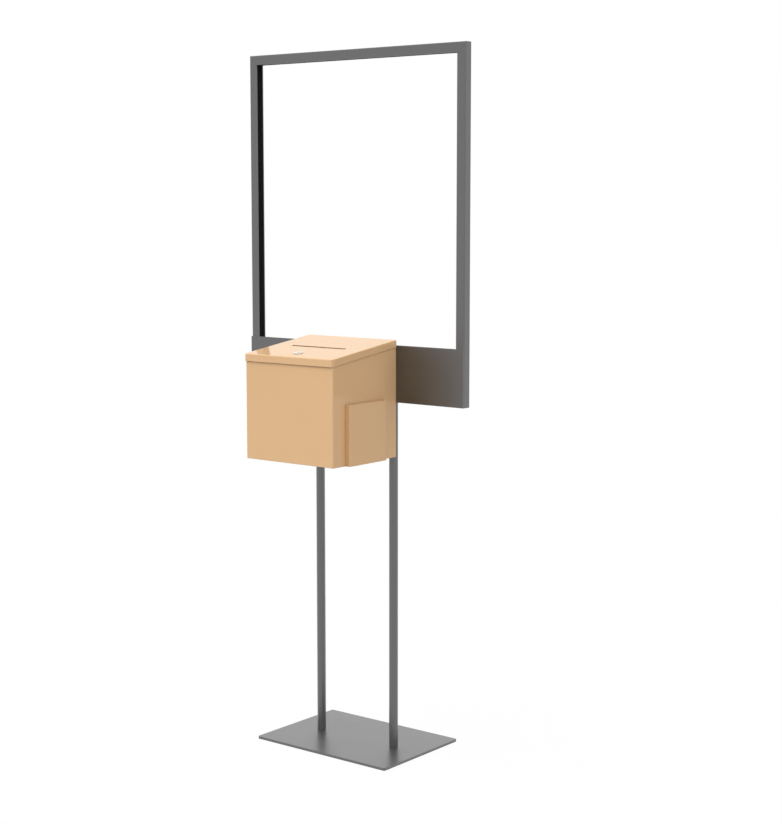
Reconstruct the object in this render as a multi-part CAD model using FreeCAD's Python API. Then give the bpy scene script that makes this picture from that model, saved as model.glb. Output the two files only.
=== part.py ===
"""Floor-standing donation box: a locking sheet-metal box hung on the apron of a poster frame,
which stands on two round posts and a steel base plate.

Millimetres. +Z is up, the front faces -Y, and the origin is the centre of the base plate's
underside. The posts and the poster frame stand in the plane Y = 0.
"""
import FreeCAD
import Part

import math
import os

from FreeCAD import Placement, Rotation, Vector

# Base plate and posts
BASE_WIDTH = 355.0
BASE_DEPTH = 254.0
BASE_THICKNESS = 5.5
BASE_CORNER = 4.0
POST_DIAMETER = 19.05
POST_WALL = 1.5
POST_SPACING = 203.0
POST_LENGTH = 748.0
PLUG_LENGTH = 22.0

# Poster frame of mitred U-channels, loaded from the top
FRAME_WIDTH = 582.0
FRAME_HEIGHT = 732.6
CHANNEL_FACE = 20.4
CHANNEL_DEPTH = 21.0
CHANNEL_WALL = 2.0
CHANNEL_BEND = 0.6
POSTER_SLOT_INSET = 9.0
POSTER_SLOT_WIDTH = 8.0

# Apron: one sheet with all four edges hemmed back on themselves
APRON_HEIGHT = 120.0
APRON_SHEET = 1.25
APRON_HEM = 12.0
APRON_ROUND = 1.0

# Box of folded sheet
BOX_WIDTH = 236.0
BOX_DEPTH = 204.0
BOX_SHEET = 1.2
BOX_BEND = 1.0
BOX_HANG = 115.0
HINGE_HEIGHT = 242.5
BACK_FLANGE = 12.0
FLOOR_FLANGE = 12.0
STRIKE_DEPTH = 15.0

# Card pocket on the right side
POCKET_WIDTH = 119.0
POCKET_HEIGHT = 125.5
POCKET_OUT = 12.6
POCKET_RIM = 5.0
POCKET_FROM_FRONT = 38.0

# Lid
LID_SLOPE = 7.5
LID_SHEET = 1.2
LID_CORNER = 5.2
LID_LIP = 15.6
SLOT_LENGTH = 145.5
SLOT_WIDTH = 8.5
SLOT_FROM_FRONT = 98.3

# Piano hinge
HINGE_LENGTH = 209.0
HINGE_KNUCKLES = 7
KNUCKLE_RADIUS = 2.2
LEAF_THICKNESS = 1.0
LEAF_DEPTH = 20.0
PIN_RADIUS = 1.15

# Cam lock
LOCK_FROM_FRONT = 34.1
LOCK_FACE_DIAMETER = 21.0
LOCK_FACE_HEIGHT = 2.4
LOCK_BARREL_DIAMETER = 16.0
LOCK_BARREL_LENGTH = 16.0
LOCK_BARREL_FLATS = 13.6
LOCK_NUT_ACROSS = 20.0
LOCK_NUT_THICKNESS = 3.5
LOCK_PLUG_DIAMETER = 10.6
LOCK_PLUG_HEAD_DIAMETER = 12.6
LOCK_PLUG_HEAD_HEIGHT = 1.4
KEYWAY_WIDTH = 2.0
KEYWAY_LENGTH = 7.6
KEYWAY_DEPTH = 8.0
CAM_LENGTH = 25.0
CAM_WIDTH = 14.0
CAM_THICKNESS = 2.0
CAM_CORNER = 2.0
CAM_SQUARE = 6.8

# Fasteners: thread diameters, lengths under the head, and heads and nuts across their flats
POST_SCREW = 6.0
POST_SCREW_LENGTH = 20.0
BASE_SCREW_HEAD = 12.0
BASE_SCREW_HEAD_HEIGHT = 3.3
BASE_SCREW_RECESS = 0.3
BOX_BOLT = 5.0
BOX_BOLT_TAIL = 0.9
BOX_BOLT_HEAD = 8.0
BOX_BOLT_HEAD_HEIGHT = 3.5
BOX_NUT_ACROSS = 8.0
BOX_NUT_THICKNESS = 4.0
BOX_BOLT_SPACING = 160.0
BOX_BOLT_LOWER = 36.0
BOX_BOLT_UPPER = 96.0
CAM_SCREW = 4.0
CAM_SCREW_LENGTH = 5.0
CAM_SCREW_HEAD = 9.0
CAM_SCREW_HEAD_HEIGHT = 2.4

# Fits and clearances
PLUG_FIT = 0.05
THREAD_FIT = 0.05
HOLE_CLEARANCE = 0.25
LID_SIDE_CLEARANCE = 0.6
LID_FRONT_CLEARANCE = 1.7
LID_LIP_GAP = 0.7
LID_SEAT_GAP = 0.5
LID_BARREL_GAP = 0.3
PIN_FIT = 0.05
KNUCKLE_END_GAP = 0.4
LEAF_CLEARANCE = 0.5
HINGE_RELIEF = 2.0
FLANGE_RELIEF = 1.0
CORNER_RELIEF = 0.3
LOCK_FIT = 0.08
CAM_FIT = 0.05
CAM_GAP = 0.2
CAM_STRIKE_GAP = 0.5
CUT_PAST = 1.0

# Levels and planes that several pieces share
FRAME_BOTTOM = BASE_THICKNESS + POST_LENGTH
APRON_BACK = -CHANNEL_DEPTH / 2
APRON_FRONT = APRON_BACK - 2 * APRON_SHEET
BOX_BACK = APRON_FRONT
BOX_FRONT = BOX_BACK - BOX_DEPTH
BOX_BOTTOM = FRAME_BOTTOM - BOX_HANG
BOX_HALF = BOX_WIDTH / 2
BOX_INNER_HALF = BOX_HALF - BOX_SHEET
BOX_INNER_FRONT = BOX_FRONT + BOX_SHEET
BOX_INNER_BACK = BOX_BACK - BOX_SHEET
HINGE_Y = BOX_INNER_BACK - KNUCKLE_RADIUS
HINGE_Z = BOX_BOTTOM + HINGE_HEIGHT

# The lid's own frame has the hinge pin along its X axis and the lid level, front towards -Y
SLOPE = math.radians(LID_SLOPE)
LID_PLACEMENT = Placement(Vector(0, HINGE_Y, HINGE_Z), Rotation(Vector(1, 0, 0), LID_SLOPE))
LID_UNDERSIDE = KNUCKLE_RADIUS + LID_BARREL_GAP
LID_TOP = LID_UNDERSIDE + LID_SHEET
LID_HALF = BOX_HALF + LID_SIDE_CLEARANCE + LID_SHEET
LID_OUTER_FRONT = BOX_FRONT - LID_FRONT_CLEARANCE - LID_SHEET
LID_FRONT = (LID_OUTER_FRONT - HINGE_Y + LID_TOP * math.sin(SLOPE)) / math.cos(SLOPE)
LID_BACK = KNUCKLE_RADIUS
LID_SWEEP = math.hypot(LID_BACK, LID_TOP)
BOX_SEAT = LID_UNDERSIDE - LID_SEAT_GAP
LOCK_Y = LID_FRONT + LOCK_FROM_FRONT
BARREL_END = LID_TOP - LOCK_BARREL_LENGTH
CAM_TOP = BARREL_END - CAM_GAP
CAM_BOTTOM = CAM_TOP - CAM_THICKNESS


def plan(a, b):
    """A point of a section drawn in plan, looking down."""
    return Vector(a, b, 0)


def side(a, b):
    """A point of a section drawn from the side, looking along X."""
    return Vector(0, a, b)


def block(x_min, x_max, y_min, y_max, z_min, z_max):
    """A box between two corners."""
    corner = Vector(x_min, y_min, z_min)
    return Part.makeBox(x_max - x_min, y_max - y_min, z_max - z_min, corner)


def rod(radius, x, y, z_min, z_max):
    """An upright cylinder."""
    return Part.makeCylinder(radius, z_max - z_min, Vector(x, y, z_min))


def outline(corners, place):
    """A face inside a closed outline of (a, b, radius) corners, each rounded by its radius."""
    starts = []
    arcs = []
    count = len(corners)
    for index, (a, b, radius) in enumerate(corners):
        point = place(a, b)
        if radius <= 0:
            starts.append((point, point))
            arcs.append(None)
            continue
        before = (place(*corners[index - 1][:2]) - point).normalize()
        after = (place(*corners[(index + 1) % count][:2]) - point).normalize()
        half_angle = before.getAngle(after) / 2
        run = radius / math.tan(half_angle)
        bisector = (before + after).normalize()
        middle = point + bisector * (radius / math.sin(half_angle) - radius)
        starts.append((point + before * run, point + after * run))
        arcs.append(middle)
    edges = []
    for index in range(count):
        enter, leave = starts[index]
        if arcs[index] is not None:
            edges.append(Part.Arc(enter, arcs[index], leave).toShape())
        following = starts[(index + 1) % count][0]
        edges.append(Part.makeLine(leave, following))
    return Part.Face(Part.Wire(edges))


def folded(path, thickness, bend, place):
    """The section of a folded sheet: path is one face of it, and the sheet lies on its left."""
    last = len(path) - 1
    headings = []
    for index in range(last):
        step = (path[index + 1][0] - path[index][0], path[index + 1][1] - path[index][1])
        length = math.hypot(*step)
        headings.append((step[0] / length, step[1] / length))
    face_side = []
    far_side = []
    for index, (a, b) in enumerate(path):
        came = headings[max(index - 1, 0)]
        goes = headings[min(index, last - 1)]
        turn = came[0] * goes[1] - came[1] * goes[0]
        along = 1 + came[0] * goes[0] + came[1] * goes[1]
        shift_a = -(came[1] + goes[1]) / along * thickness
        shift_b = (came[0] + goes[0]) / along * thickness
        near_radius = 0
        far_radius = 0
        if 0 < index < last:
            near_radius = bend + thickness if turn > 0 else bend
            far_radius = bend if turn > 0 else bend + thickness
        face_side.append((a, b, near_radius))
        far_side.append((a + shift_a, b + shift_b, far_radius))
    return outline(face_side + far_side[::-1], place)


def edges_at(shape, picked):
    """The edges whose centre of mass passes the test."""
    return [edge for edge in shape.Edges if picked(edge.CenterOfMass)]


def near(value, target):
    """Whether two lengths are the same for picking an edge."""
    return abs(value - target) < 0.01


def on_lid(shape):
    """Move a shape from the lid's own frame to its place on the closed lid."""
    moved = shape.copy()
    moved.Placement = LID_PLACEMENT.multiply(moved.Placement)
    return moved


def lid_plane(y, lid_z):
    """The height, at a depth y, of a plane parallel to the lid."""
    return HINGE_Z + (y - HINGE_Y) * math.tan(SLOPE) + lid_z / math.cos(SLOPE)


def hexagon(across, thickness):
    """A hexagonal prism, standing on its lower face."""
    corner = across / 2 / math.cos(math.radians(30))
    points = []
    for index in range(6):
        angle = math.radians(60 * index)
        points.append((corner * math.cos(angle), corner * math.sin(angle), 0))
    return outline(points, plan).extrude(Vector(0, 0, thickness))


def hex_nut(across, hole_radius, thickness):
    """A nut, standing on its lower face."""
    return hexagon(across, thickness).cut(rod(hole_radius, 0, 0, -CUT_PAST, thickness + CUT_PAST))


def hex_screw(diameter, length, across, head_height):
    """A screw with its hexagon head above z = 0 and its shank below."""
    return hexagon(across, head_height).fuse(rod(diameter / 2, 0, 0, -length, 0)).removeSplitter()


def countersunk(diameter, length, head_diameter, head_height):
    """A screw with its flat head at z = 0 and its shank upwards."""
    head = Part.makeCone(head_diameter / 2, diameter / 2, head_height)
    return head.fuse(rod(diameter / 2, 0, 0, head_height, length)).removeSplitter()


def copies(shape, placements):
    """Separate copies of one solid, kept together as one group."""
    group = []
    for placement in placements:
        copy = shape.copy()
        copy.Placement = placement
        group.append(copy)
    return Part.makeCompound(group)


def post_places(z):
    """Where the two posts stand, at a height."""
    places = []
    for sign in (-1, 1):
        places.append(Placement(Vector(sign * POST_SPACING / 2, 0, z), Rotation()))
    return places


def bolt_places(y):
    """The four bolts of the box at a depth, with their shanks pointing back through the apron."""
    turn = Rotation(Vector(1, 0, 0), 90)
    places = []
    for sign in (-1, 1):
        for height in (BOX_BOLT_LOWER, BOX_BOLT_UPPER):
            places.append(Placement(Vector(sign * BOX_BOLT_SPACING / 2, y, FRAME_BOTTOM + height), turn))
    return places


def bolt_holes():
    """The clearance holes of the box's bolts through its back and the apron."""
    reach = BOX_SHEET + 2 * APRON_SHEET + CUT_PAST
    hole = rod(BOX_BOLT / 2 + HOLE_CLEARANCE, 0, 0, -reach, CUT_PAST)
    return copies(hole, bolt_places(BOX_INNER_BACK))


def base_plate():
    """Flat steel plate with rounded corners and countersunk holes for the posts' screws."""
    half_width = BASE_WIDTH / 2
    half_depth = BASE_DEPTH / 2
    plate = block(-half_width, half_width, -half_depth, half_depth, 0, BASE_THICKNESS)
    upright = edges_at(plate, lambda centre: near(centre.z, BASE_THICKNESS / 2))
    plate = plate.makeFillet(BASE_CORNER, upright)
    sink = BASE_SCREW_HEAD_HEIGHT + BASE_SCREW_RECESS
    flare = (BASE_SCREW_HEAD - POST_SCREW) / BASE_SCREW_HEAD_HEIGHT * sink
    shank = POST_SCREW + 2 * HOLE_CLEARANCE
    hole = countersunk(shank, BASE_THICKNESS + CUT_PAST, shank + flare, sink)
    return plate.cut(copies(hole, post_places(0)))


def post(sign):
    """Round tube between the base plate and the frame, to which its head is welded."""
    x = sign * POST_SPACING / 2
    radius = POST_DIAMETER / 2
    skin = rod(radius, x, 0, BASE_THICKNESS, FRAME_BOTTOM)
    return skin.cut(rod(radius - POST_WALL, x, 0, BASE_THICKNESS - CUT_PAST, FRAME_BOTTOM + CUT_PAST))


def post_plugs():
    """Threaded plugs, one in the foot of each post."""
    plug = rod(POST_DIAMETER / 2 - POST_WALL - PLUG_FIT, 0, 0, 0, PLUG_LENGTH)
    plug = plug.cut(rod(POST_SCREW / 2 + THREAD_FIT, 0, 0, -CUT_PAST, PLUG_LENGTH + CUT_PAST))
    return copies(plug, post_places(BASE_THICKNESS))


def base_screws():
    """Countersunk screws from below the plate into the posts."""
    screw = countersunk(POST_SCREW, POST_SCREW_LENGTH, BASE_SCREW_HEAD, BASE_SCREW_HEAD_HEIGHT)
    return copies(screw, post_places(BASE_SCREW_RECESS))


def channel(length):
    """U-channel along X with its web down and its ends mitred, centred over the origin."""
    half = length / 2
    depth = CHANNEL_DEPTH / 2
    path = [(depth, CHANNEL_FACE), (depth, 0), (-depth, 0), (-depth, CHANNEL_FACE)]
    section = folded(path[::-1], CHANNEL_WALL, CHANNEL_BEND, side)
    section.translate(Vector(-half, 0, 0))
    bar = section.extrude(Vector(length, 0, 0))
    mitre = [(-half, 0, 0), (half, 0, 0), (half - CHANNEL_FACE, CHANNEL_FACE, 0)]
    mitre.append((CHANNEL_FACE - half, CHANNEL_FACE, 0))
    keep = outline(mitre, lambda a, b: Vector(a, -depth - CUT_PAST, b))
    return bar.common(keep.extrude(Vector(0, CHANNEL_DEPTH + 2 * CUT_PAST, 0)))


def frame_member(bar, x, z, turn):
    """Turn a channel about Y and set the middle of its web at (x, z)."""
    bar.Placement = Placement(Vector(x, 0, z), Rotation(Vector(0, 1, 0), turn))
    return bar


def top_channel():
    """Top channel, with the slot that the poster slides in by."""
    half_length = FRAME_WIDTH / 2 - POSTER_SLOT_INSET
    half_width = POSTER_SLOT_WIDTH / 2
    slot = block(-half_length, half_length, -half_width, half_width, -CUT_PAST, CHANNEL_WALL + CUT_PAST)
    return frame_member(channel(FRAME_WIDTH).cut(slot), 0, FRAME_BOTTOM + FRAME_HEIGHT, 180)


def bottom_channel():
    """Bottom channel, welded on the heads of the posts."""
    return frame_member(channel(FRAME_WIDTH), 0, FRAME_BOTTOM, 0)


def side_channel(sign):
    """Upright channel at one side of the frame."""
    middle = FRAME_BOTTOM + FRAME_HEIGHT / 2
    return frame_member(channel(FRAME_HEIGHT), sign * FRAME_WIDTH / 2, middle, -90 * sign)


def apron_panel():
    """Sheet across the foot of the frame, hemmed all round so that its middle stands off."""
    half = FRAME_WIDTH / 2
    top = FRAME_BOTTOM + APRON_HEIGHT
    sheet = block(-half, half, APRON_FRONT, APRON_BACK, FRAME_BOTTOM, top)
    hems = edges_at(sheet, lambda centre: near(centre.x, 0))
    sheet = sheet.makeFillet(APRON_ROUND, hems)
    recess = block(-half + APRON_HEM, half - APRON_HEM, APRON_FRONT + APRON_SHEET, APRON_BACK + CUT_PAST,
                   FRAME_BOTTOM + APRON_HEM, top - APRON_HEM)
    return sheet.cut([recess, bolt_holes()])


def strike():
    """The front wall's top edge, folded in under the lid and then down as the cam's strike."""
    half = BOX_INNER_HALF - BOX_BEND - CORNER_RELIEF
    lip_y = BOX_FRONT + STRIKE_DEPTH
    low = lid_plane(lip_y, CAM_TOP) + CAM_STRIKE_GAP
    root = lid_plane(BOX_FRONT, BARREL_END)
    path = [(lip_y, low), (lip_y, lid_plane(lip_y, BOX_SEAT))]
    path += [(BOX_FRONT, lid_plane(BOX_FRONT, BOX_SEAT)), (BOX_FRONT, root)]
    section = folded(path, BOX_SHEET, BOX_BEND, side)
    section.translate(Vector(-half, 0, 0))
    taken = block(-half, half, BOX_FRONT - CUT_PAST, BOX_INNER_FRONT, root, HINGE_Z)
    return section.extrude(Vector(2 * half, 0, 0)), taken


def box_wrap():
    """Front and both sides in one folded sheet, cut to the lid's slope."""
    path = [(-BOX_HALF, BOX_BACK), (-BOX_HALF, BOX_FRONT), (BOX_HALF, BOX_FRONT), (BOX_HALF, BOX_BACK)]
    tall = HINGE_HEIGHT + 2 * LID_TOP
    wall = folded(path, BOX_SHEET, BOX_BEND, plan).extrude(Vector(0, 0, tall))
    wall.translate(Vector(0, 0, BOX_BOTTOM))
    above = block(-BOX_WIDTH, BOX_WIDTH, -2 * BOX_DEPTH, BOX_DEPTH, BOX_SEAT, BOX_SEAT + tall)
    reach = LID_SWEEP + HINGE_RELIEF
    notch = block(-BOX_WIDTH, BOX_WIDTH, -reach, BOX_DEPTH, -reach, BOX_SEAT + tall)
    fold, taken = strike()
    wall = wall.cut([on_lid(above), on_lid(notch), taken])
    return wall.fuse(fold).removeSplitter()


def box_floor():
    """Floor tray, turned up against the front wall and the back panel."""
    top = BOX_BOTTOM + FLOOR_FLANGE
    path = [(BOX_INNER_FRONT, top), (BOX_INNER_FRONT, BOX_BOTTOM), (BOX_INNER_BACK, BOX_BOTTOM)]
    path.append((BOX_INNER_BACK, top))
    section = folded(path, BOX_SHEET, BOX_BEND, side)
    section.translate(Vector(-BOX_INNER_HALF, 0, 0))
    tray = section.extrude(Vector(2 * BOX_INNER_HALF, 0, 0))
    relief = BOX_BEND + CORNER_RELIEF
    corner = block(0, relief, BOX_INNER_FRONT - CUT_PAST, BOX_INNER_FRONT + relief, 0, top + CUT_PAST)
    places = []
    for x in (-BOX_INNER_HALF, BOX_INNER_HALF - relief):
        places.append(Placement(Vector(x, 0, 0), Rotation()))
    return tray.cut(copies(corner, places))


def box_back():
    """Back panel between the sides, with a flange up each edge, below the hinge."""
    half = BOX_INNER_HALF
    path = [(half, BOX_BACK - BACK_FLANGE), (half, BOX_BACK), (-half, BOX_BACK)]
    path.append((-half, BOX_BACK - BACK_FLANGE))
    tall = HINGE_HEIGHT - LID_SWEEP - LEAF_CLEARANCE
    panel = folded(path, BOX_SHEET, BOX_BEND, plan).extrude(Vector(0, 0, tall))
    panel.translate(Vector(0, 0, BOX_BOTTOM))
    flange_end = BOX_BOTTOM + FLOOR_FLANGE + FLANGE_RELIEF
    notch = block(-half, half, BOX_BACK - BACK_FLANGE, BOX_INNER_BACK, BOX_BOTTOM, flange_end)
    return panel.cut([notch, bolt_holes()])


def box_bolts():
    """Bolts from inside the box through its back and the apron."""
    length = BOX_SHEET + APRON_SHEET + BOX_NUT_THICKNESS + BOX_BOLT_TAIL
    bolt = hex_screw(BOX_BOLT, length, BOX_BOLT_HEAD, BOX_BOLT_HEAD_HEIGHT)
    return copies(bolt, bolt_places(BOX_INNER_BACK))


def box_nuts():
    """Nuts on the back of the apron's sheet."""
    nut = hex_nut(BOX_NUT_ACROSS, BOX_BOLT / 2 + THREAD_FIT, BOX_NUT_THICKNESS)
    return copies(nut, bolt_places(APRON_FRONT + APRON_SHEET + BOX_NUT_THICKNESS))


def card_pocket():
    """Shallow pocket of folded sheet with a closed bottom and an open top, its rim turned in."""
    front = BOX_FRONT + POCKET_FROM_FRONT
    back = front + POCKET_WIDTH
    out = BOX_HALF + POCKET_OUT
    path = [(BOX_HALF, front), (out, front), (out, back), (BOX_HALF, back)]
    wall = folded(path, BOX_SHEET, BOX_BEND, plan).extrude(Vector(0, 0, POCKET_HEIGHT))
    bottom = block(BOX_HALF, out - BOX_SHEET, front + BOX_SHEET, back - BOX_SHEET, 0, BOX_SHEET)
    rim = block(out - POCKET_RIM, out - BOX_SHEET, front + BOX_SHEET, back - BOX_SHEET,
                POCKET_HEIGHT - BOX_SHEET, POCKET_HEIGHT)
    pocket = wall.fuse([bottom, rim]).removeSplitter()
    pocket.translate(Vector(0, 0, BOX_BOTTOM))
    return pocket


def knuckle_spans(moving):
    """The stretches of the hinge's barrel that belong to one leaf."""
    pitch = HINGE_LENGTH / HINGE_KNUCKLES
    spans = []
    for index in range(int(moving), HINGE_KNUCKLES, 2):
        start = -HINGE_LENGTH / 2 + index * pitch
        spans.append((start, start + pitch))
    return spans


def barrel(radius):
    """A rod along the hinge's axis, as long as the hinge."""
    return Part.makeCylinder(radius, HINGE_LENGTH, Vector(-HINGE_LENGTH / 2, 0, 0), Vector(1, 0, 0))


def hinge_leaf(plate, moving):
    """A leaf's plate with its knuckles, cleared where the other leaf's knuckles turn."""
    reach = KNUCKLE_RADIUS + LEAF_CLEARANCE
    gap = KNUCKLE_END_GAP / 2
    clear = []
    for start, end in knuckle_spans(not moving):
        clear.append(block(start - gap, end + gap, -reach, reach, -reach, reach))
    leaf = plate.fuse(barrel(KNUCKLE_RADIUS)).removeSplitter()
    return leaf.cut(clear + [barrel(PIN_RADIUS + PIN_FIT)])


def body_hinge_leaf():
    """The hinge's fixed leaf, flat on the inside of the box's back."""
    half = HINGE_LENGTH / 2
    plate = block(-half, half, KNUCKLE_RADIUS - LEAF_THICKNESS, KNUCKLE_RADIUS, -LEAF_DEPTH, 0)
    leaf = hinge_leaf(plate, False)
    leaf.translate(Vector(0, HINGE_Y, HINGE_Z))
    return leaf


def lid_hinge_leaf():
    """The hinge's moving leaf, flat under the lid and set up a little off its barrel."""
    half = HINGE_LENGTH / 2
    plate = block(-half, half, -LEAF_DEPTH, 0, LID_UNDERSIDE - LEAF_THICKNESS, LID_UNDERSIDE)
    return on_lid(hinge_leaf(plate, True))


def hinge_pin():
    """The pin through all the knuckles."""
    pin = barrel(PIN_RADIUS)
    pin.translate(Vector(0, HINGE_Y, HINGE_Z))
    return pin


def lid_form(back, bottom, inset):
    """The lid's outline as a solid, set in from the outside by a sheet's thickness or none.

    The front lip hangs plumb, so it leans forward in the lid's own frame.
    """
    top = LID_TOP - inset
    half = LID_HALF - inset
    lean = math.tan(SLOPE)
    front_top = LID_FRONT - inset * lean + inset / math.cos(SLOPE)
    front_bottom = front_top - (top - bottom) * lean
    corners = [(back, bottom, 0), (back, top, 0), (front_top, top, 0), (front_bottom, bottom, 0)]
    section = outline(corners, side)
    section.translate(Vector(-half, 0, 0))
    form = section.extrude(Vector(2 * half, 0, 0))
    lip_middle = (front_top + front_bottom) / 2
    upright = edges_at(form, lambda centre: near(centre.y, lip_middle) and near(abs(centre.x), half))
    form = form.makeFillet(LID_CORNER - inset, upright)
    folds = edges_at(form, lambda centre: near(centre.z, top) and not near(centre.y, back))
    return form.makeFillet(BOX_BEND + LID_SHEET - inset, folds)


def double_d(radius, flats, z_min, z_max):
    """A rod with two flats, upright on the lock's axis."""
    rod_part = rod(radius, 0, LOCK_Y, z_min, z_max)
    return rod_part.common(block(-flats / 2, flats / 2, LOCK_Y - radius, LOCK_Y + radius, z_min, z_max))


def lid_panel():
    """Lid with a lip at the front and both sides, the money slot and the lock's hole."""
    skin = lid_form(LID_BACK, LID_TOP - LID_LIP, 0)
    hollow = lid_form(LID_BACK + CUT_PAST, LID_TOP - LID_LIP - CUT_PAST, LID_SHEET)
    half_length = SLOT_LENGTH / 2
    slot_front = LID_FRONT + SLOT_FROM_FRONT - SLOT_WIDTH / 2
    slot = block(-half_length, half_length, slot_front, slot_front + SLOT_WIDTH, 0, LID_TOP + CUT_PAST)
    hole = double_d(LOCK_BARREL_DIAMETER / 2 + HOLE_CLEARANCE, LOCK_BARREL_FLATS + 2 * HOLE_CLEARANCE,
                    0, LID_TOP + CUT_PAST)
    lip_ends = block(-LID_HALF, LID_HALF, BOX_BACK - LID_LIP_GAP, 0, FRAME_BOTTOM, HINGE_Z)
    return on_lid(skin.cut([hollow, slot, hole])).cut(lip_ends)


def lock_body():
    """The lock's round face and its flatted barrel, bored for the plug."""
    face_top = LID_TOP + LOCK_FACE_HEIGHT
    face = rod(LOCK_FACE_DIAMETER / 2, 0, LOCK_Y, LID_TOP, face_top)
    body = face.fuse(double_d(LOCK_BARREL_DIAMETER / 2, LOCK_BARREL_FLATS, BARREL_END, LID_TOP))
    bore = rod(LOCK_PLUG_DIAMETER / 2 + LOCK_FIT, 0, LOCK_Y, BARREL_END - CUT_PAST, face_top + CUT_PAST)
    seat = face_top - LOCK_PLUG_HEAD_HEIGHT - LOCK_FIT
    sink = rod(LOCK_PLUG_HEAD_DIAMETER / 2 + LOCK_FIT, 0, LOCK_Y, seat, face_top + CUT_PAST)
    return on_lid(body.cut([bore, sink]).removeSplitter())


def lock_nut():
    """Nut that holds the lock up under the lid."""
    nut = hex_nut(LOCK_NUT_ACROSS, LOCK_BARREL_DIAMETER / 2 + THREAD_FIT, LOCK_NUT_THICKNESS)
    nut.translate(Vector(0, LOCK_Y, LID_UNDERSIDE - LOCK_NUT_THICKNESS))
    return on_lid(nut)


def lock_plug():
    """Turning plug with its keyway, and a square tail that drives the cam."""
    head_top = LID_TOP + LOCK_FACE_HEIGHT
    head_under = head_top - LOCK_PLUG_HEAD_HEIGHT
    head = rod(LOCK_PLUG_HEAD_DIAMETER / 2, 0, LOCK_Y, head_under, head_top)
    shaft = rod(LOCK_PLUG_DIAMETER / 2, 0, LOCK_Y, BARREL_END, head_under)
    half = CAM_SQUARE / 2
    tail_end = CAM_BOTTOM + CAM_FIT
    tail = block(-half, half, LOCK_Y - half, LOCK_Y + half, tail_end, BARREL_END)
    plug = head.fuse([shaft, tail]).removeSplitter()
    key_half = KEYWAY_LENGTH / 2
    keyway = block(-key_half, key_half, LOCK_Y - KEYWAY_WIDTH / 2, LOCK_Y + KEYWAY_WIDTH / 2,
                   head_top - KEYWAY_DEPTH, head_top + CUT_PAST)
    thread_end = CAM_BOTTOM + CAM_SCREW_LENGTH + CUT_PAST
    thread = rod(CAM_SCREW / 2 + THREAD_FIT, 0, LOCK_Y, tail_end - CUT_PAST, thread_end)
    return on_lid(plug.cut([keyway, thread]))


def lock_cam():
    """Flat cam, turned aside at rest so that the lid can lift."""
    half = CAM_WIDTH / 2
    butt = half - CAM_FIT
    nose = half - CAM_CORNER
    corners = [(half, -half, butt), (half, half, butt), (CAM_CORNER - CAM_LENGTH, half, 0)]
    corners += [(-CAM_LENGTH, nose, 0), (-CAM_LENGTH, -nose, 0), (CAM_CORNER - CAM_LENGTH, -half, 0)]
    cam = outline(corners, plan).extrude(Vector(0, 0, CAM_THICKNESS))
    hole = CAM_SQUARE / 2 + CAM_FIT
    cam = cam.cut(block(-hole, hole, -hole, hole, -CUT_PAST, CAM_THICKNESS + CUT_PAST))
    cam.translate(Vector(0, LOCK_Y, CAM_BOTTOM))
    return on_lid(cam)


def cam_screw():
    """Screw that clamps the cam on the plug's tail, head down."""
    screw = hex_screw(CAM_SCREW, CAM_SCREW_LENGTH, CAM_SCREW_HEAD, CAM_SCREW_HEAD_HEIGHT)
    screw.Placement = Placement(Vector(0, LOCK_Y, CAM_BOTTOM), Rotation(Vector(1, 0, 0), 180))
    return on_lid(screw)


def pieces():
    """Every piece of the object by name."""
    return {
        "base_plate": base_plate(),
        "left_post": post(-1),
        "right_post": post(1),
        "post_plugs": post_plugs(),
        "base_screws": base_screws(),
        "top_channel": top_channel(),
        "left_channel": side_channel(-1),
        "right_channel": side_channel(1),
        "bottom_channel": bottom_channel(),
        "apron_panel": apron_panel(),
        "box_wrap": box_wrap(),
        "box_floor": box_floor(),
        "box_back": box_back(),
        "box_bolts": box_bolts(),
        "box_nuts": box_nuts(),
        "card_pocket": card_pocket(),
        "body_hinge_leaf": body_hinge_leaf(),
        "hinge_pin": hinge_pin(),
        "lid_panel": lid_panel(),
        "lid_hinge_leaf": lid_hinge_leaf(),
        "lock_body": lock_body(),
        "lock_nut": lock_nut(),
        "lock_plug": lock_plug(),
        "lock_cam": lock_cam(),
        "cam_screw": cam_screw(),
    }


def main():
    """Write one STEP file for each piece."""
    os.makedirs("parts", exist_ok=True)
    for name, shape in pieces().items():
        shape.exportStep(f"parts/{name}.step")


main()
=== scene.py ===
"""Looks of a floor-standing donation box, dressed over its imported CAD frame.

The painted sheet metal keeps its CAD solids and gets its finishes here. The lock's case and the fasteners
are built here as finer turned pieces that stand for their CAD nodes. Lengths are in millimetres until a mesh
is made.
"""
import logging
import math
from dataclasses import dataclass, field
from enum import Enum
from typing import Any, Callable, Mapping, Optional, Sequence

import bmesh
import bpy
from mathutils import Matrix, Vector


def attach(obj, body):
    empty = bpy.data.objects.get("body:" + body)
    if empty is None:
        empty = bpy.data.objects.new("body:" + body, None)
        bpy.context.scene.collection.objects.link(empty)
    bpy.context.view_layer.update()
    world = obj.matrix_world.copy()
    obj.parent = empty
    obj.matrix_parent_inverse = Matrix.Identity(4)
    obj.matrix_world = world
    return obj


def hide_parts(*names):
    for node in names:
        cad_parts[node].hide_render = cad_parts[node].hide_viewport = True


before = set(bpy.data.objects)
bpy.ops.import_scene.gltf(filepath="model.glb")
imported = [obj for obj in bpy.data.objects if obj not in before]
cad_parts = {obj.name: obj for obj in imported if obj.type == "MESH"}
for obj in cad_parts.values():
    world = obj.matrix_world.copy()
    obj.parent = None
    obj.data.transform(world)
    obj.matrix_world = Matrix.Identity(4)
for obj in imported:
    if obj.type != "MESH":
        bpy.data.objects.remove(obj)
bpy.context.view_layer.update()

LOG = logging.getLogger("donation_box")
MM = 0.001
WHITE = (1.0, 1.0, 1.0, 1.0)

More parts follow.
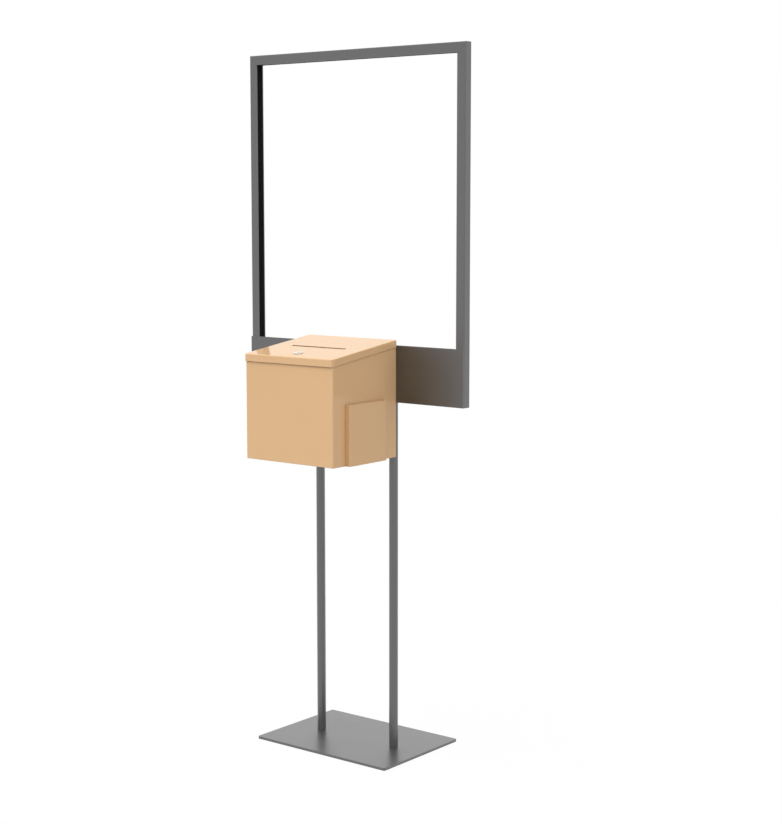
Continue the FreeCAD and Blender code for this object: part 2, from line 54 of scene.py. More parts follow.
# How fine the meshes are
SMALL_SEGMENTS = 48
LARGE_SEGMENTS = 96
RINGS_PER_TURN = 6  # of a thread
RIM_STEPS = 8  # of a quarter round
SMOOTH_ANGLE = math.radians(32)  # edges sharper than this stay sharp

# Shares and slopes that fasteners have in common
THREAD_DEPTH_SHARE = 0.54  # of the pitch
CROWN_SHARE = 0.95  # of a hexagon's width across flats
BEVEL_SLOPE = math.tan(math.radians(30))

# What the finishes have in common
ROUGHNESS_DRIFT = 0.15  # how far the roughness drifts, as a share of its mean
CLEAR_SHARE = 0.85  # the roughness of a clear topcoat, as a share of the coat under it
CLOUD_OCTAVES = 3.0
PEEL_OCTAVES = 1.0
GRAIN_OCTAVES = 2.0
EDGE_SAMPLES = 6

# Sockets of a mix of colours, which share their names with those of its other types
MIX_FACTOR = 0
MIX_LOW = 6
MIX_HIGH = 7
MIX_RESULT = 2


class Body(Enum):
    """The CAD bodies that pieces ride on."""

    STAND = "stand"
    LID = "lid"
    LOCK = "lock"


class Slot(Enum):
    """The record's material slots."""

    FRAME_PAINT = "frame_paint"
    BOX_PAINT = "box_paint"
    ZINC_STEEL = "zinc_steel"
    LOCK_CHROME = "lock_chrome"


class Ends(Enum):
    """How a stack of rings is shut: by a cap at each end, or by joining its last ring to its first."""

    CAPPED = "capped"
    LOOPED = "looped"


def linear(hex_colour: str) -> tuple[float, float, float, float]:
    """Turn an sRGB hex colour into linear RGBA.

    Args:
        hex_colour: A colour such as "#D9B082".

    Returns:
        Red, green and blue as linear light, and an alpha of 1.
    """
    channels = []
    for start in (1, 3, 5):
        value = int(hex_colour[start:start + 2], 16) / 255
        channels.append(value / 12.92 if value <= 0.04045 else ((value + 0.055) / 1.055) ** 2.4)
    return channels[0], channels[1], channels[2], 1.0


def shaded(colour: Sequence[float], factor: float) -> tuple[float, float, float, float]:
    """Scale a linear colour's light by a factor, keeping its alpha at 1."""
    return colour[0] * factor, colour[1] * factor, colour[2] * factor, 1.0


def per_mm(length: float) -> float:
    """The scale of a noise texture whose features are a length in millimetres across."""
    return 1 / (length * MM)


def add_node(tree: bpy.types.NodeTree, kind: str, settings: Optional[Mapping[str, Any]] = None,
             values: Optional[Mapping[Any, Any]] = None,
             links: Optional[Mapping[Any, bpy.types.NodeSocket]] = None) -> bpy.types.Node:
    """Add a node with its settings, its sockets' values and its links.

    Args:
        tree: The node tree that it goes into.
        kind: The node's type name.
        settings: Properties of the node itself.
        values: Default values by input socket.
        links: Source sockets by input socket.

    Returns:
        The new node.
    """
    node = tree.nodes.new(kind)
    for key, value in (settings or {}).items():
        setattr(node, key, value)
    for socket, value in (values or {}).items():
        node.inputs[socket].default_value = value
    for socket, source in (links or {}).items():
        tree.links.new(source, node.inputs[socket])
    return node


@dataclass(frozen=True)
class Finish:
    """What a surface is made of and how it was finished.

    Attributes:
        name: The material and its process.
        colour: The main colour as sRGB hex.
        roughness: The mean roughness.
        patch_mm: How far apart the drifts of tone lie.
        drift: How much the tone drifts, as a share of the colour's light.
        edge_mm: The radius that the finish gives to sharp edges.
    """

    name: str
    colour: str
    roughness: float
    patch_mm: float
    drift: float
    edge_mm: float

    def material(self) -> bpy.types.Material:
        """Give the finish's material, and make it the first time.

        Returns:
            The material.
        """
        found = bpy.data.materials.get(self.name)
        if found:
            return found
        material = bpy.data.materials.new(self.name)
        material.use_nodes = True
        tree = material.node_tree
        tree.nodes.clear()
        shader = add_node(tree, "ShaderNodeBsdfPrincipled")
        add_node(tree, "ShaderNodeOutputMaterial", links={"Surface": shader.outputs[0]})
        place = add_node(tree, "ShaderNodeTexCoord").outputs["Object"]
        self.shade(tree, shader, place)
        material.diffuse_color = linear(self.colour)
        return material

    def shade(self, tree: bpy.types.NodeTree, shader: bpy.types.Node, place: bpy.types.NodeSocket) -> None:
        """Set the shader up for this finish.

        Args:
            tree: The material's node tree.
            shader: Its Principled shader.
            place: Coordinates in metres that ride with the piece.
        """
        raise NotImplementedError

    def tone(self, tree: bpy.types.NodeTree, shader: bpy.types.Node, place: bpy.types.NodeSocket,
             low: Sequence[float], high: Sequence[float]) -> bpy.types.NodeSocket:
        """Let the colour drift between two tones, and the shader's roughness with it.

        Args:
            tree: The material's node tree.
            shader: Its Principled shader.
            place: Coordinates in metres that ride with the piece.
            low: The darker tone, linear.
            high: The lighter tone, linear.

        Returns:
            The colour's socket.
        """
        cloud = add_node(tree, "ShaderNodeTexNoise",
                         values={"Scale": per_mm(self.patch_mm), "Detail": CLOUD_OCTAVES},
                         links={"Vector": place})
        mix = add_node(tree, "ShaderNodeMix", {"data_type": "RGBA"}, {MIX_LOW: low, MIX_HIGH: high},
                       {MIX_FACTOR: cloud.outputs[0]})
        spread = add_node(tree, "ShaderNodeMapRange",
                          values={"To Min": self.roughness * (1 - ROUGHNESS_DRIFT),
                                  "To Max": self.roughness * (1 + ROUGHNESS_DRIFT)},
                          links={"Value": cloud.outputs[0]})
        tree.links.new(spread.outputs[0], shader.inputs["Roughness"])
        return mix.outputs[MIX_RESULT]

    def relief(self, tree: bpy.types.NodeTree, shader: bpy.types.Node, place: bpy.types.NodeSocket,
               spacing_mm: float, depth_mm: float, octaves: float) -> None:
        """Round the sharp edges and give the surface a fine relief.

        Args:
            tree: The material's node tree.
            shader: Its Principled shader.
            place: Coordinates in metres that ride with the piece.
            spacing_mm: The distance from crest to crest.
            depth_mm: The depth of the dips.
            octaves: How many finer layers of relief lie on it.
        """
        edge = add_node(tree, "ShaderNodeBevel", {"samples": EDGE_SAMPLES}, {"Radius": self.edge_mm * MM})
        waves = add_node(tree, "ShaderNodeTexNoise", values={"Scale": per_mm(spacing_mm), "Detail": octaves},
                         links={"Vector": place})
        bump = add_node(tree, "ShaderNodeBump", values={"Distance": depth_mm * MM},
                        links={"Height": waves.outputs[0], "Normal": edge.outputs[0]})
        tree.links.new(bump.outputs[0], shader.inputs["Normal"])


@dataclass(frozen=True)
class Paint(Finish):
    """A baked coat of paint, which flows out over edges and dries with an orange-peel skin.

    Attributes:
        metallic: How much of the coat is metal flake.
        ior: The refractive index of the resin.
        clear: How much of a clear topcoat lies over it.
        peel_mm: The distance from crest to crest of the skin.
        peel_depth_mm: The depth of the skin's dips.
    """

    metallic: float
    ior: float
    clear: float
    peel_mm: float
    peel_depth_mm: float

    def shade(self, tree: bpy.types.NodeTree, shader: bpy.types.Node, place: bpy.types.NodeSocket) -> None:
        """Set up a pigmented coat with soft edges and an orange-peel skin.

        Args:
            tree: The material's node tree.
            shader: Its Principled shader.
            place: Coordinates in metres that ride with the piece.
        """
        colour = linear(self.colour)
        coat = self.tone(tree, shader, place, shaded(colour, 1 - self.drift), shaded(colour, 1 + self.drift))
        tree.links.new(coat, shader.inputs["Base Color"])
        shader.inputs["Metallic"].default_value = self.metallic
        shader.inputs["IOR"].default_value = self.ior
        shader.inputs["Coat Weight"].default_value = self.clear
        shader.inputs["Coat Roughness"].default_value = self.roughness * CLEAR_SHARE
        self.relief(tree, shader, place, self.peel_mm, self.peel_depth_mm, PEEL_OCTAVES)


@dataclass(frozen=True)
class Plating(Finish):
    """A bright metal plated on another, with the drawn or rolled grain of what lies under it.

    Attributes:
        tint: A second colour that the plate drifts towards, as sRGB hex.
        grain_mm: The spacing of the grain.
        grain_depth_mm: The depth of the grain.
        painted_shade_mm: How far out of its corners and recesses shade is painted into the plate's colour.
    """

    tint: str
    grain_mm: float
    grain_depth_mm: float
    painted_shade_mm: float

    def shade(self, tree: bpy.types.NodeTree, shader: bpy.types.Node, place: bpy.types.NodeSocket) -> None:
        """Set up a metal whose plate drifts in tint over a fine grain, with shade painted into its colour in
        its recesses.

        Args:
            tree: The material's node tree.
            shader: Its Principled shader.
            place: Coordinates in metres that ride with the piece.
        """
        plate = self.tone(tree, shader, place, shaded(linear(self.tint), 1 - self.drift), linear(self.colour))
        # Ambient occlusion darkens the plate's colour near its corners and recesses: painted shade.
        painted_recess_shade = add_node(tree, "ShaderNodeAmbientOcclusion", values={"Distance": self.painted_shade_mm * MM},
                          links={"Color": plate})
        tree.links.new(painted_recess_shade.outputs["Color"], shader.inputs["Base Color"])
        shader.inputs["Metallic"].default_value = 1.0
        self.relief(tree, shader, place, self.grain_mm, self.grain_depth_mm, GRAIN_OCTAVES)


# Polyester powder with fine aluminium flake under a clear topcoat, sprayed and baked on steel: a satin
# graphite that mirrors what is near it in a blur and pales at a low angle. Its skin is under a millimetre
# from crest to crest, drawn at 4 mm so that it shows.
POWDER_COAT = Paint(name="metallic_powder_coat_graphite_on_steel", colour="#636363", roughness=0.39,
                    patch_mm=90.0, drift=0.03, edge_mm=0.7, metallic=0.9, ior=1.5, clear=0.95, peel_mm=4.0,
                    peel_depth_mm=0.012)

# Baked enamel on folded sheet: a glossy tan that mirrors the frame and the white room, a little broken by its
# skin.
ENAMEL = Paint(name="baked_enamel_gloss_tan_on_sheet_steel", colour="#DCB487", roughness=0.07, patch_mm=120.0,
               drift=0.012, edge_mm=1.5, metallic=0.0, ior=1.3, clear=0.0, peel_mm=7.0, peel_depth_mm=0.004)

# Zinc electroplate on turned steel: a cool grey metal with faint warm clouds and a blurred shine, and painted
# shade in its corners and recesses.
ZINC = Plating(name="zinc_plate_bright_on_turned_steel", colour="#D0D3D6", roughness=0.32, patch_mm=6.0,
               drift=0.06, edge_mm=0.15, tint="#C3C0B4", grain_mm=0.6, grain_depth_mm=0.01, painted_shade_mm=1.0)

# Bright chrome plate on a die casting: a metal that mirrors the white room, a little blurred and warm, with
# painted shade at the foot of its rim and in its keyway.
CHROME = Plating(name="chrome_plate_bright_on_die_casting", colour="#FFF8EA", roughness=0.14, patch_mm=9.0,
                 drift=0.02, edge_mm=0.2, tint="#F5EDDD", grain_mm=1.5, grain_depth_mm=0.001, painted_shade_mm=6.0)

FINISHES: dict[Slot, Finish] = {
    Slot.FRAME_PAINT: POWDER_COAT,
    Slot.BOX_PAINT: ENAMEL,
    Slot.ZINC_STEEL: ZINC,
    Slot.LOCK_CHROME: CHROME,
}


def dress(slot: Slot, nodes: Sequence[str]) -> None:
    """Give CAD nodes the finish of their slot.

    Args:
        slot: The record's material slot.
        nodes: Names of CAD nodes.
    """
    for node in nodes:
        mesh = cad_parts[node].data
        mesh.materials.clear()
        mesh.materials.append(FINISHES[slot].material())
        LOG.info("dressed %s in %s", node, FINISHES[slot].name)


def turn_outwards(mesh: bpy.types.Mesh) -> None:
    """Turn all the faces of a closed mesh outwards.

    Args:
        mesh: The mesh, which is changed in place.
    """
    shape = bmesh.new()
    shape.from_mesh(mesh)
    bmesh.ops.recalc_face_normals(shape, faces=shape.faces)
    shape.to_mesh(mesh)
    shape.free()


@dataclass
class Turning:
    """A turned form: rings of points about +Z, joined in order by faces.

    Attributes:
        segments: The points on each ring.
        rings: The rings so far, in millimetres.
    """

    segments: int
    rings: list[list[Vector]] = field(default_factory=list)

    def ring(self, radius: Callable[[float], float], height: Callable[[float], float]) -> None:
        """Add a ring whose radius and height follow the angle.

        Args:
            radius: The radius at an angle.
            height: The height at an angle.
        """
        points = []
        for index in range(self.segments):
            angle = math.tau * index / self.segments
            reach = radius(angle)
            points.append(Vector((reach * math.cos(angle), reach * math.sin(angle), height(angle))))
        self.rings.append(points)

    def circles(self, profile: Sequence[tuple[float, float]]) -> None:
        """Add a round ring for each (radius, height) of a profile."""
        for radius, height in profile:
            self.ring(lambda angle, r=radius: r, lambda angle, h=height: h)

    def rounded(self, radius: float, start: float, end: float, bulge: float) -> None:
        """Add a quarter-round edge.

        Args:
            radius: The radius where the edge ends.
            start: The height where it starts.
            end: The height where it ends.
            bulge: How far in from that radius it starts.
        """
        for step in range(RIM_STEPS + 1):
            turn = math.pi / 2 * step / RIM_STEPS
            reach = radius - bulge * (1 - math.sin(turn))
            self.circles([(reach, end + (start - end) * math.cos(turn))])

    def hexagon(self, across: float, height: float, crown: float = math.inf, slope: float = 0.0) -> None:
        """Add a hexagonal ring, its corners bevelled off where they reach past a crown.

        Args:
            across: The width across flats.
            height: The height inside the crown.
            crown: The radius where the bevel starts, if there is one.
            slope: How fast the bevel falls past the crown, below zero where it rises.
        """
        side = math.radians(60)

        def wall(angle: float) -> float:
            """The radius of the hexagon's wall at an angle."""
            return across / 2 / math.cos((angle + side / 2) % side - side / 2)

        self.ring(wall, lambda angle: height - max(wall(angle) - crown, 0) * slope)

    def thread(self, radius: float, pitch: float, start: float, end: float, flats: float = math.inf) -> None:
        """Add the rings of a screw thread.

        Args:
            radius: The radius of the crests.
            pitch: The rise of one turn.
            start: The height where the thread starts.
            end: The height where it ends.
            flats: The width across flats cut on the thread, if any.
        """
        depth = pitch * THREAD_DEPTH_SHARE
        count = max(2, round(abs(end - start) / pitch * RINGS_PER_TURN))
        for step in range(count + 1):
            height = start + (end - start) * step / count

            def reach(angle: float, level: float = height) -> float:
                """The thread's radius at an angle, at this ring's level."""
                turn = (level / pitch - angle / math.tau) % 1
                crest = radius - depth * abs(2 * turn - 1)
                return min(crest, flats / 2 / abs(math.cos(angle)))

            self.ring(reach, lambda angle, level=height: level)

    def faces(self, base: int, ends: Ends) -> list[list[int]]:
        """Join the rings of one copy of the form.

        Args:
            base: The index of the copy's first point.
            ends: How the form is shut.

        Returns:
            The faces, each as indices of points.
        """
        count = self.segments
        last = len(self.rings) - 1
        joins = last + 1 if ends is Ends.LOOPED else last
        found = []
        for level in range(joins):
            lower = base + level * count
            upper = base + (level + 1) % (last + 1) * count
            for index in range(count):
                following = (index + 1) % count
                found.append([lower + index, lower + following, upper + following, upper + index])
        if ends is Ends.CAPPED:
            top = base + last * count
            found.append([base + index for index in reversed(range(count))])
            found.append([top + index for index in range(count)])
        return found

    def mesh(self, name: str, ends: Ends, places: Sequence[Matrix]) -> bpy.types.Mesh:
        """Make one mesh with a copy of the form at each place.

        Args:
            name: The mesh's name.
            ends: How the form is shut.
            places: Where the copies go, in millimetres.

        Returns:
            The mesh, in metres.
        """
        points: list[Vector] = []
        faces: list[list[int]] = []
        for place in places:
            faces += self.faces(len(points), ends)
            for ring in self.rings:
                points.extend(place @ point * MM for point in ring)
        mesh = bpy.data.meshes.new(name)
        mesh.from_pydata(points, [], faces)
        turn_outwards(mesh)
        mesh.validate()
        mesh.shade_smooth()
        mesh.set_sharp_from_angle(angle=SMOOTH_ANGLE)
        return mesh


def add_piece(mesh: bpy.types.Mesh, body: Body, slot: Slot, nodes: Sequence[str]) -> None:
    """Put a new mesh on its body, in place of CAD nodes.

    Args:
        mesh: The mesh, in the row frame.
        body: The CAD body that it rides on.
        slot: The record's material slot.
        nodes: The CAD nodes that it stands for.
    """
    piece = bpy.data.objects.new(mesh.name, mesh)
    bpy.context.scene.collection.objects.link(piece)
    mesh.materials.append(FINISHES[slot].material())
    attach(piece, body.value)
    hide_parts(*nodes)
    LOG.info("built %s for %s: %d faces", mesh.name, ", ".join(nodes), len(mesh.polygons))


@dataclass(frozen=True)
class HexBolt:
    """A hexagon-head screw, its head above z = 0 and its shank below.

    Attributes:
        thread: The thread's diameter.
        pitch: The thread's pitch.
        length: The length under the head.
        across: The head across its flats.
        height: The head's height.
        dish_depth: The depth of the dish in the head's top.
        dish_floor: The radius of the dish's floor, as a share of the crown's.
        dish_rim: The radius of the dish's rim, as a share of the crown's.
        point_length: The length of the tapered point.
        point_taper: How far the point draws in.
    """

    thread: float
    pitch: float
    length: float
    across: float
    height: float
    dish_depth: float = 0.25
    dish_floor: float = 0.5
    dish_rim: float = 0.62
    point_length: float = 0.6
    point_taper: float = 0.8

    def form(self) -> Turning:
        """Work out the form, from the head's top to the screw's point.

        Returns:
            The form, as a stack of rings to be capped.
        """
        form = Turning(SMALL_SEGMENTS)
        crown = self.across / 2 * CROWN_SHARE
        form.circles([(crown * self.dish_floor, self.height - self.dish_depth),
                      (crown * self.dish_rim, self.height), (crown, self.height)])
        form.hexagon(self.across, self.height, crown, BEVEL_SLOPE)
        form.hexagon(self.across, 0.0)
        form.thread(self.thread / 2, self.pitch, 0.0, -self.length + self.point_length)
        form.circles([(self.thread / 2 - self.point_taper, -self.length)])
        return form


@dataclass(frozen=True)
class HexNut:
    """A hexagon nut bevelled on both faces, standing on z = 0.

    Attributes:
        across: The width across flats.
        thread: The thread's diameter.
        height: The nut's height.
        fit: The bore's clearance round the thread.
        mouth: How far the bore's mouth opens round the thread.
        mouth_depth: How deep that mouth is.
    """

    across: float
    thread: float
    height: float
    fit: float = 0.05
    mouth: float = 0.35
    mouth_depth: float = 0.4

    def form(self) -> Turning:
        """Work out the form, from the lower end of the bore round to the upper.

        Returns:
            The form, as a loop of rings.
        """
        form = Turning(SMALL_SEGMENTS)
        crown = self.across / 2 * CROWN_SHARE
        bore = self.thread / 2 + self.fit
        mouth = self.thread / 2 + self.mouth
        form.circles([(bore, self.mouth_depth), (mouth, 0.0), (crown, 0.0)])
        form.hexagon(self.across, 0.0, crown, -BEVEL_SLOPE)
        form.hexagon(self.across, self.height / 2)
        form.hexagon(self.across, self.height, crown, BEVEL_SLOPE)
        form.circles([(crown, self.height), (mouth, self.height), (bore, self.height - self.mouth_depth)])
        return form


@dataclass
class PosterStand:
    """Base plate, posts, poster frame and apron, with the screws in the feet of the posts.

    Attributes:
        post_spacing: Between the posts' middles.
        screw_level: The underside of the screws' heads.
        thread: The screws' thread diameter.
        pitch: The thread's pitch.
        length: The screws' length.
        head: The heads' diameter.
        head_height: The heads' height.
        rim_width: How far in from its edge the head is broken.
        rim_height: How high that break is.
        socket: The hexagon socket across its flats.
        socket_depth: The socket's depth.
        point_length: The length of the tapered point.
        point_taper: How far the point draws in.
    """

    post_spacing: float = 203.0
    screw_level: float = 0.3
    thread: float = 6.0
    pitch: float = 1.0
    length: float = 20.0
    head: float = 12.0
    head_height: float = 3.3
    rim_width: float = 0.2
    rim_height: float = 0.15
    socket: float = 4.0
    socket_depth: float = 2.4
    point_length: float = 0.8
    point_taper: float = 0.9

    def build(self) -> None:
        """Dress the painted steel and build the screws."""
        dress(Slot.FRAME_PAINT, ["base_plate", "left_post", "right_post", "top_channel", "left_channel",
                                 "right_channel", "bottom_channel", "apron_panel"])
        dress(Slot.ZINC_STEEL, ["post_plugs"])
        self.base_screws()

    def base_screws(self) -> None:
        """Countersunk screws with a hexagon socket, from below the plate."""
        form = Turning(SMALL_SEGMENTS)
        form.hexagon(self.socket, self.socket_depth)
        form.hexagon(self.socket, 0.0)
        form.circles([(self.head / 2 - self.rim_width, 0.0), (self.head / 2, self.rim_height),
                      (self.thread / 2, self.head_height)])
        form.thread(self.thread / 2, self.pitch, self.head_height, self.length - self.point_length)
        form.circles([(self.thread / 2 - self.point_taper, self.length)])
        places = [Matrix.Translation((sign * self.post_spacing / 2, 0, self.screw_level)) for sign in (-1, 1)]
        add_piece(form.mesh("countersunk_screws", Ends.CAPPED, places), Body.STAND, Slot.ZINC_STEEL,
                  ["base_screws"])


@dataclass
class CollectionBox:
    """The folded box with its card pocket, and the bolts that hold it to the apron.

    Attributes:
        bolt_spacing: Between the bolts' columns.
        bolt_levels: The heights of the bolts' rows.
        back_inside: The inside face of the box's back, along Y.
        nut_back: The far face of the nuts, along Y.
        thread: The bolts' thread diameter.
        pitch: The thread's pitch.
        length: The bolts' length.
        head_across: The heads and nuts across their flats.
        head_height: The heads' height.
        nut_height: The nuts' height.
    """

    bolt_spacing: float = 160.0
    bolt_levels: tuple[float, float] = (789.5, 849.5)
    back_inside: float = -14.2
    nut_back: float = -7.75
    thread: float = 5.0
    pitch: float = 0.8
    length: float = 7.35
    head_across: float = 8.0
    head_height: float = 3.5
    nut_height: float = 4.0

    def build(self) -> None:
        """Dress the sheet metal and build the bolts and nuts."""
        dress(Slot.BOX_PAINT, ["box_wrap", "box_floor", "box_back", "card_pocket"])
        bolt = HexBolt(self.thread, self.pitch, self.length, self.head_across, self.head_height).form()
        add_piece(bolt.mesh("box_hex_bolts", Ends.CAPPED, self.places(self.back_inside)), Body.STAND,
                  Slot.ZINC_STEEL, ["box_bolts"])
        nut = HexNut(self.head_across, self.thread, self.nut_height).form()
        add_piece(nut.mesh("box_hex_nuts", Ends.LOOPED, self.places(self.nut_back)), Body.STAND,
                  Slot.ZINC_STEEL, ["box_nuts"])

    def places(self, depth: float) -> list[Matrix]:
        """The bolts' axes at a depth, their heads towards the front.

        Args:
            depth: The place along Y in millimetres.

        Returns:
            A placement for each bolt.
        """
        turn = Matrix.Rotation(math.pi / 2, 4, "X")
        found = []
        for sign in (-1, 1):
            for level in self.bolt_levels:
                found.append(Matrix.Translation((sign * self.bolt_spacing / 2, depth, level)) @ turn)
        return found


@dataclass
class Lid:
    """The sloping lid and the piano hinge that it turns on.

    Attributes:
        hinge: The middle of the hinge's pin.
        slope: The lid's slope in degrees.
    """

    hinge: tuple[float, float, float] = (0.0, -16.4, 881.0)
    slope: float = 7.5

    def build(self) -> None:
        """Dress the lid, both leaves and the pin."""
        dress(Slot.BOX_PAINT, ["lid_panel", "lid_hinge_leaf", "body_hinge_leaf"])
        dress(Slot.ZINC_STEEL, ["hinge_pin"])

    def place(self, y: float, z: float) -> Matrix:
        """A place on the lid's own frame: y back from the hinge's pin, z up off it."""
        turn = Matrix.Rotation(math.radians(self.slope), 4, "X")
        return Matrix.Translation(self.hinge) @ turn @ Matrix.Translation((0, y, z))


@dataclass
class CamLock:
    """The cam lock in the lid.

    Heights are in the lid's own frame, above the hinge's pin.

    Attributes:
        lid: The lid that carries it.
        axis_y: The lock's axis, along the lid.
        lid_top: The lid's top face.
        face_top: The lock's face.
        face_radius: The radius of the lock's face.
        rim_width: How far in the face's rounded rim starts.
        rim_height: How far down that rim goes.
        barrel_radius: The radius of the threaded barrel.
        barrel_pitch: The pitch of its thread.
        barrel_flats: The barrel across its flats.
        barrel_end: The barrel's lower end.
        plug_radius: The bore for the plug.
        head_radius: The recess for the plug's head.
        head_seat: The bottom of that recess.
        head_bevel: The bevel round that recess.
        nut_across: The nut across its flats.
        nut_height: The nut's height.
        nut_bottom: The lower face of the nut.
        cam_bottom: The lower face of the cam.
        screw_thread: The cam screw's thread diameter.
        screw_pitch: The pitch of its thread.
        screw_length: Its length under the head.
        screw_across: Its head across the flats.
        screw_height: Its head's height.
    """

    lid: Lid
    axis_y: float = -170.669
    lid_top: float = 3.7
    face_top: float = 6.1
    face_radius: float = 10.5
    rim_width: float = 1.4
    rim_height: float = 1.1
    barrel_radius: float = 8.0
    barrel_pitch: float = 1.5
    barrel_flats: float = 13.6
    barrel_end: float = -12.3
    plug_radius: float = 5.38
    head_radius: float = 6.38
    head_seat: float = 4.62
    head_bevel: float = 0.2
    nut_across: float = 20.0
    nut_height: float = 3.5
    nut_bottom: float = -1.0
    cam_bottom: float = -14.5
    screw_thread: float = 4.0
    screw_pitch: float = 0.7
    screw_length: float = 5.0
    screw_across: float = 9.0
    screw_height: float = 2.4

    def build(self) -> None:
        """Build the case, the nut and the cam's screw, and dress the plug and the cam."""
        self.case()
        self.nut()
        self.cam_screw()
        dress(Slot.LOCK_CHROME, ["lock_plug"])
        dress(Slot.ZINC_STEEL, ["lock_cam"])

    def case(self) -> None:
        """The lock's case: a face with a rounded rim over a threaded barrel with two flats."""
        form = Turning(LARGE_SEGMENTS)
        form.circles([(self.plug_radius, self.barrel_end), (self.plug_radius, self.head_seat),
                      (self.head_radius, self.head_seat), (self.head_radius, self.face_top - self.head_bevel),
                      (self.head_radius + self.head_bevel, self.face_top)])
        form.rounded(self.face_radius, self.face_top, self.face_top - self.rim_height, self.rim_width)
        form.circles([(self.face_radius, self.lid_top), (self.barrel_radius, self.lid_top)])
        form.thread(self.barrel_radius, self.barrel_pitch, self.lid_top, self.barrel_end, self.barrel_flats)
        mesh = form.mesh("lock_case", Ends.LOOPED, [self.lid.place(self.axis_y, 0.0)])
        add_piece(mesh, Body.LID, Slot.LOCK_CHROME, ["lock_body"])

    def nut(self) -> None:
        """The thin nut that draws the lock down on the lid."""
        form = HexNut(self.nut_across, 2 * self.barrel_radius, self.nut_height).form()
        mesh = form.mesh("lock_hex_nut", Ends.LOOPED, [self.lid.place(self.axis_y, self.nut_bottom)])
        add_piece(mesh, Body.LID, Slot.ZINC_STEEL, ["lock_nut"])

    def cam_screw(self) -> None:
        """The screw that clamps the cam, head down."""
        form = HexBolt(self.screw_thread, self.screw_pitch, self.screw_length, self.screw_across,
                       self.screw_height).form()
        turn = Matrix.Rotation(math.pi, 4, "X")
        mesh = form.mesh("cam_hex_screw", Ends.CAPPED, [self.lid.place(self.axis_y, self.cam_bottom) @ turn])
        add_piece(mesh, Body.LOCK, Slot.ZINC_STEEL, ["cam_screw"])


@dataclass(frozen=True)
class Lamp:
    """A broad soft lamp, so far away that its light is even.

    Mirrors don't show it: they show the white room.

    Attributes:
        name: Which lamp it is.
        stands: Where it stands, as a direction from the object.
        level: The light that it gives to a surface facing it, where 1 shows a colour as it is written.
        spread: How wide it looks from the object, in degrees.
    """

    name: str
    stands: tuple[float, float, float]
    level: float
    spread: float

    def build(self) -> None:
        """Hang the lamp."""
        light = bpy.data.lights.new(self.name, "SUN")
        light.energy = self.level * math.pi
        light.angle = math.radians(self.spread)
        lamp = bpy.data.objects.new(self.name, light)
        bpy.context.scene.collection.objects.link(lamp)
        lamp.rotation_mode = "QUATERNION"
        lamp.rotation_quaternion = Vector(self.stands).to_track_quat("Z", "Y")
        lamp.visible_glossy = False


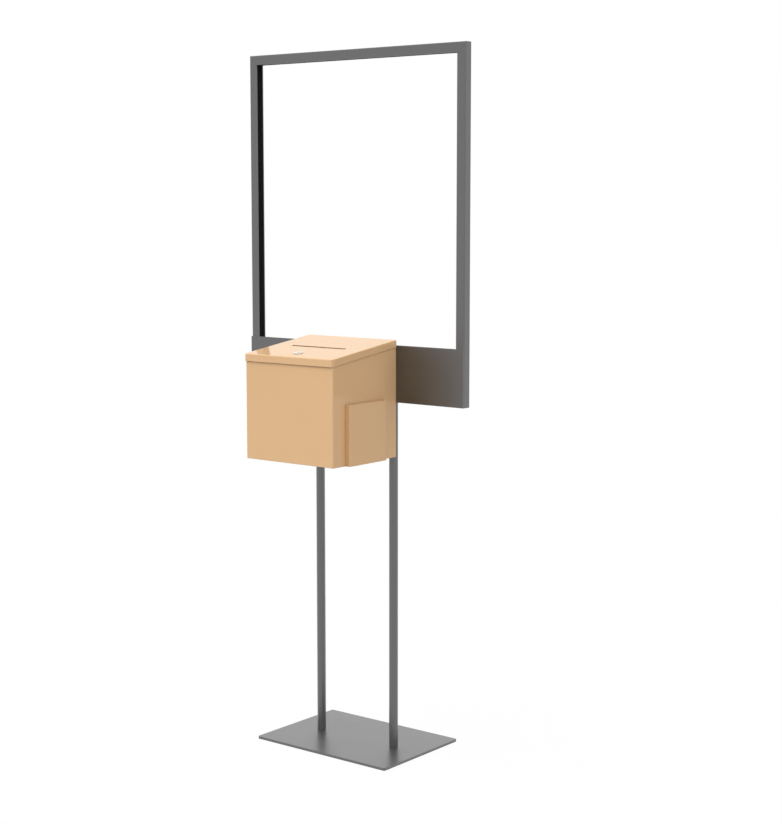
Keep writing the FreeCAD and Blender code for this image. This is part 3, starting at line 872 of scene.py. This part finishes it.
@dataclass
class Studio:
    """White floor, white room, soft lamps and the camera.

    Attributes:
        room_light: The room's radiance as it lights the object.
        lamps: The lamps.
        floor_reach: How far the floor goes from the object, in metres.
        floor_glow: The floor's own white, as the camera sees it.
        floor_share: The share of the floor's white that takes the shadow.
        floor_bounce: The floor's albedo as it lights the object.
        camera_at: The camera's place in metres.
        camera_aim: The direction that it looks in.
        lens: Its focal length in millimetres.
        sensor: Its sensor's width in millimetres.
    """

    room_light: float = 0.3
    lamps: tuple[Lamp, ...] = (
        Lamp(name="left_front_lamp", stands=(-0.5, -0.58, 0.64), level=0.69, spread=70.0),
        Lamp(name="right_lamp", stands=(0.92, -0.2, 0.34), level=0.38, spread=70.0),
        Lamp(name="top_lamp", stands=(0.0, -0.2, 0.98), level=0.46, spread=120.0),
    )
    floor_reach: float = 40.0
    floor_glow: float = 0.922
    floor_share: float = 0.06
    floor_bounce: float = 0.3
    camera_at: tuple[float, float, float] = (2.3332, -2.8355, 1.1706)
    camera_aim: tuple[float, float, float] = (-0.6151, 0.7791, -0.1209)
    lens: float = 75.503
    sensor: float = 36.0

    def build(self) -> None:
        """Make the room, the floor, the lamps and the camera."""
        bpy.context.scene.view_settings.view_transform = "Standard"
        self.room()
        self.floor()
        for lamp in self.lamps:
            lamp.build()
        self.camera()

    def seen(self, tree: bpy.types.NodeTree) -> bpy.types.NodeSocket:
        """A factor of 1 for rays that see a surface, and 0 for rays that only light one.

        A surface is seen straight on, in a mirror or through glass.

        Args:
            tree: The node tree that needs it.

        Returns:
            The factor's socket.
        """
        path = add_node(tree, "ShaderNodeLightPath")
        direct = add_node(tree, "ShaderNodeMath", {"operation": "MAXIMUM"},
                          links={0: path.outputs["Is Camera Ray"], 1: path.outputs["Is Glossy Ray"]})
        through = add_node(tree, "ShaderNodeMath", {"operation": "MAXIMUM"},
                           links={0: direct.outputs[0], 1: path.outputs["Is Transmission Ray"]})
        return through.outputs[0]

    def room(self) -> None:
        """A white room that lights the object evenly."""
        world = bpy.data.worlds.new("white_room")
        bpy.context.scene.world = world
        world.use_nodes = True
        tree = world.node_tree
        tree.nodes.clear()
        light = add_node(tree, "ShaderNodeBackground", values={"Color": WHITE, "Strength": self.room_light})
        white = add_node(tree, "ShaderNodeBackground", values={"Color": WHITE, "Strength": 1.0})
        mix = add_node(tree, "ShaderNodeMixShader",
                       links={0: self.seen(tree), 1: light.outputs[0], 2: white.outputs[0]})
        add_node(tree, "ShaderNodeOutputWorld", links={"Surface": mix.outputs[0]})

    def floor(self) -> None:
        """A matt white floor that keeps the object's shadow."""
        reach = self.floor_reach
        mesh = bpy.data.meshes.new("floor")
        mesh.from_pydata([(-reach, -reach, 0), (reach, -reach, 0), (reach, reach, 0), (-reach, reach, 0)], [],
                         [(0, 1, 2, 3)])
        floor = bpy.data.objects.new("floor", mesh)
        bpy.context.scene.collection.objects.link(floor)
        material = bpy.data.materials.new("painted_floor_matt_white")
        mesh.materials.append(material)
        material.use_nodes = True
        tree = material.node_tree
        tree.nodes.clear()
        shadow = add_node(tree, "ShaderNodeBsdfDiffuse", values={"Color": shaded(WHITE, self.floor_share)})
        bounce = add_node(tree, "ShaderNodeBsdfDiffuse", values={"Color": shaded(WHITE, self.floor_bounce)})
        glow = add_node(tree, "ShaderNodeEmission", values={"Strength": self.floor_glow})
        white = add_node(tree, "ShaderNodeAddShader", links={0: shadow.outputs[0], 1: glow.outputs[0]})
        mix = add_node(tree, "ShaderNodeMixShader",
                       links={0: self.seen(tree), 1: bounce.outputs[0], 2: white.outputs[0]})
        add_node(tree, "ShaderNodeOutputMaterial", links={"Surface": mix.outputs[0]})

    def camera(self) -> None:
        """The camera at the photograph's viewing angle."""
        data = bpy.data.cameras.new("camera")
        data.lens = self.lens
        data.sensor_width = self.sensor
        camera = bpy.data.objects.new("camera", data)
        bpy.context.scene.collection.objects.link(camera)
        camera.location = self.camera_at
        camera.rotation_mode = "QUATERNION"
        camera.rotation_quaternion = Vector(self.camera_aim).to_track_quat("-Z", "Y")
        bpy.context.scene.camera = camera


def main() -> None:
    """Build the sub-assemblies in order, then the studio."""
    logging.basicConfig(level=logging.INFO, format="%(name)s: %(message)s")
    PosterStand().build()
    CollectionBox().build()
    lid = Lid()
    lid.build()
    CamLock(lid).build()
    Studio().build()


if __name__ == "__main__":
    main()
